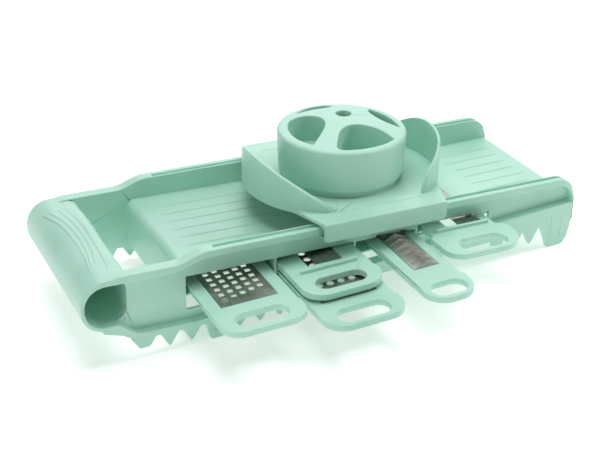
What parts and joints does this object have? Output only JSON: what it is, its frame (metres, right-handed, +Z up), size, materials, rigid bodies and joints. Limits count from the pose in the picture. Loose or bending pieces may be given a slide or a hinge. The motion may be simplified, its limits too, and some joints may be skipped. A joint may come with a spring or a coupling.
{
  "type": "mandoline slicer",
  "caption": "Kitchen mandoline: a tilted trough body with a hollow grip, a sliding carriage with a round food holder, and interchangeable slicing and grating inserts.",
  "frame": {"origin": "centre of the whole object's footprint, on the surface it stands on", "axes": "+X along the board from the grip to the far end, +Y away from the side where the inserts are pulled out, +Z up"},
  "size_m": [0.3762, 0.2186, 0.1037],
  "materials": {
    "mint_plastic": "satin moulded, mint green",
    "blade_steel": "brushed stainless"
  },
  "bodies": {
    "body": {"body": "mint_plastic"},
    "carriage": {"carriage": "mint_plastic"},
    "holder": {"holder_cap": "mint_plastic", "holder_core": "mint_plastic", "food_pin_1": "blade_steel", "food_pin_2": "blade_steel", "food_pin_3": "blade_steel", "food_pin_4": "blade_steel", "food_pin_5": "blade_steel", "food_pin_6": "blade_steel", "food_pin_7": "blade_steel", "food_pin_8": "blade_steel"},
    "slicer_insert": {"slicer_insert_frame": "mint_plastic", "slicer_blade": "blade_steel", "slicer_insert_rivet_1": "blade_steel", "slicer_insert_rivet_2": "blade_steel"},
    "thick_slicer_insert": {"thick_slicer_insert_frame": "mint_plastic", "thick_slicer_blade": "blade_steel", "thick_slicer_insert_rivet_1": "blade_steel", "thick_slicer_insert_rivet_2": "blade_steel"},
    "coarse_grater_insert": {"coarse_grater_insert_frame": "mint_plastic", "coarse_grater_plate": "blade_steel"},
    "fine_grater_insert": {"fine_grater_insert_frame": "mint_plastic", "fine_grater_plate": "blade_steel"},
    "julienne_insert": {"julienne_insert_frame": "mint_plastic", "julienne_strip": "blade_steel"}
  },
  "joints": [
    {"name": "carriage_slide", "type": "slide", "parent": "body", "child": "carriage", "axis": [0.9989, 0, -0.0471], "range_m": [-0.08, 0.098]},
    {"name": "holder_lift", "type": "slide", "parent": "carriage", "child": "holder", "axis": [0.0471, 0, 0.9989], "range_m": [0, 0.04]},
    {"name": "slicer_insert_slide", "type": "slide", "parent": "body", "child": "slicer_insert", "axis": [0, -1, 0], "range_m": [-0.011, 0.087]},
    {"name": "thick_slicer_insert_slide", "type": "slide", "parent": "body", "child": "thick_slicer_insert", "axis": [0, -1, 0], "range_m": [-0.018, 0.077]},
    {"name": "coarse_grater_insert_slide", "type": "slide", "parent": "body", "child": "coarse_grater_insert", "axis": [0, -1, 0], "range_m": [-0.0355, 0.063]},
    {"name": "fine_grater_insert_slide", "type": "slide", "parent": "body", "child": "fine_grater_insert", "axis": [0, -1, 0], "range_m": [-0.052, 0.046]},
    {"name": "julienne_insert_slide", "type": "slide", "parent": "body", "child": "julienne_insert", "axis": [0, -1, 0], "range_m": [-0.048, 0.049]}
  ]
}
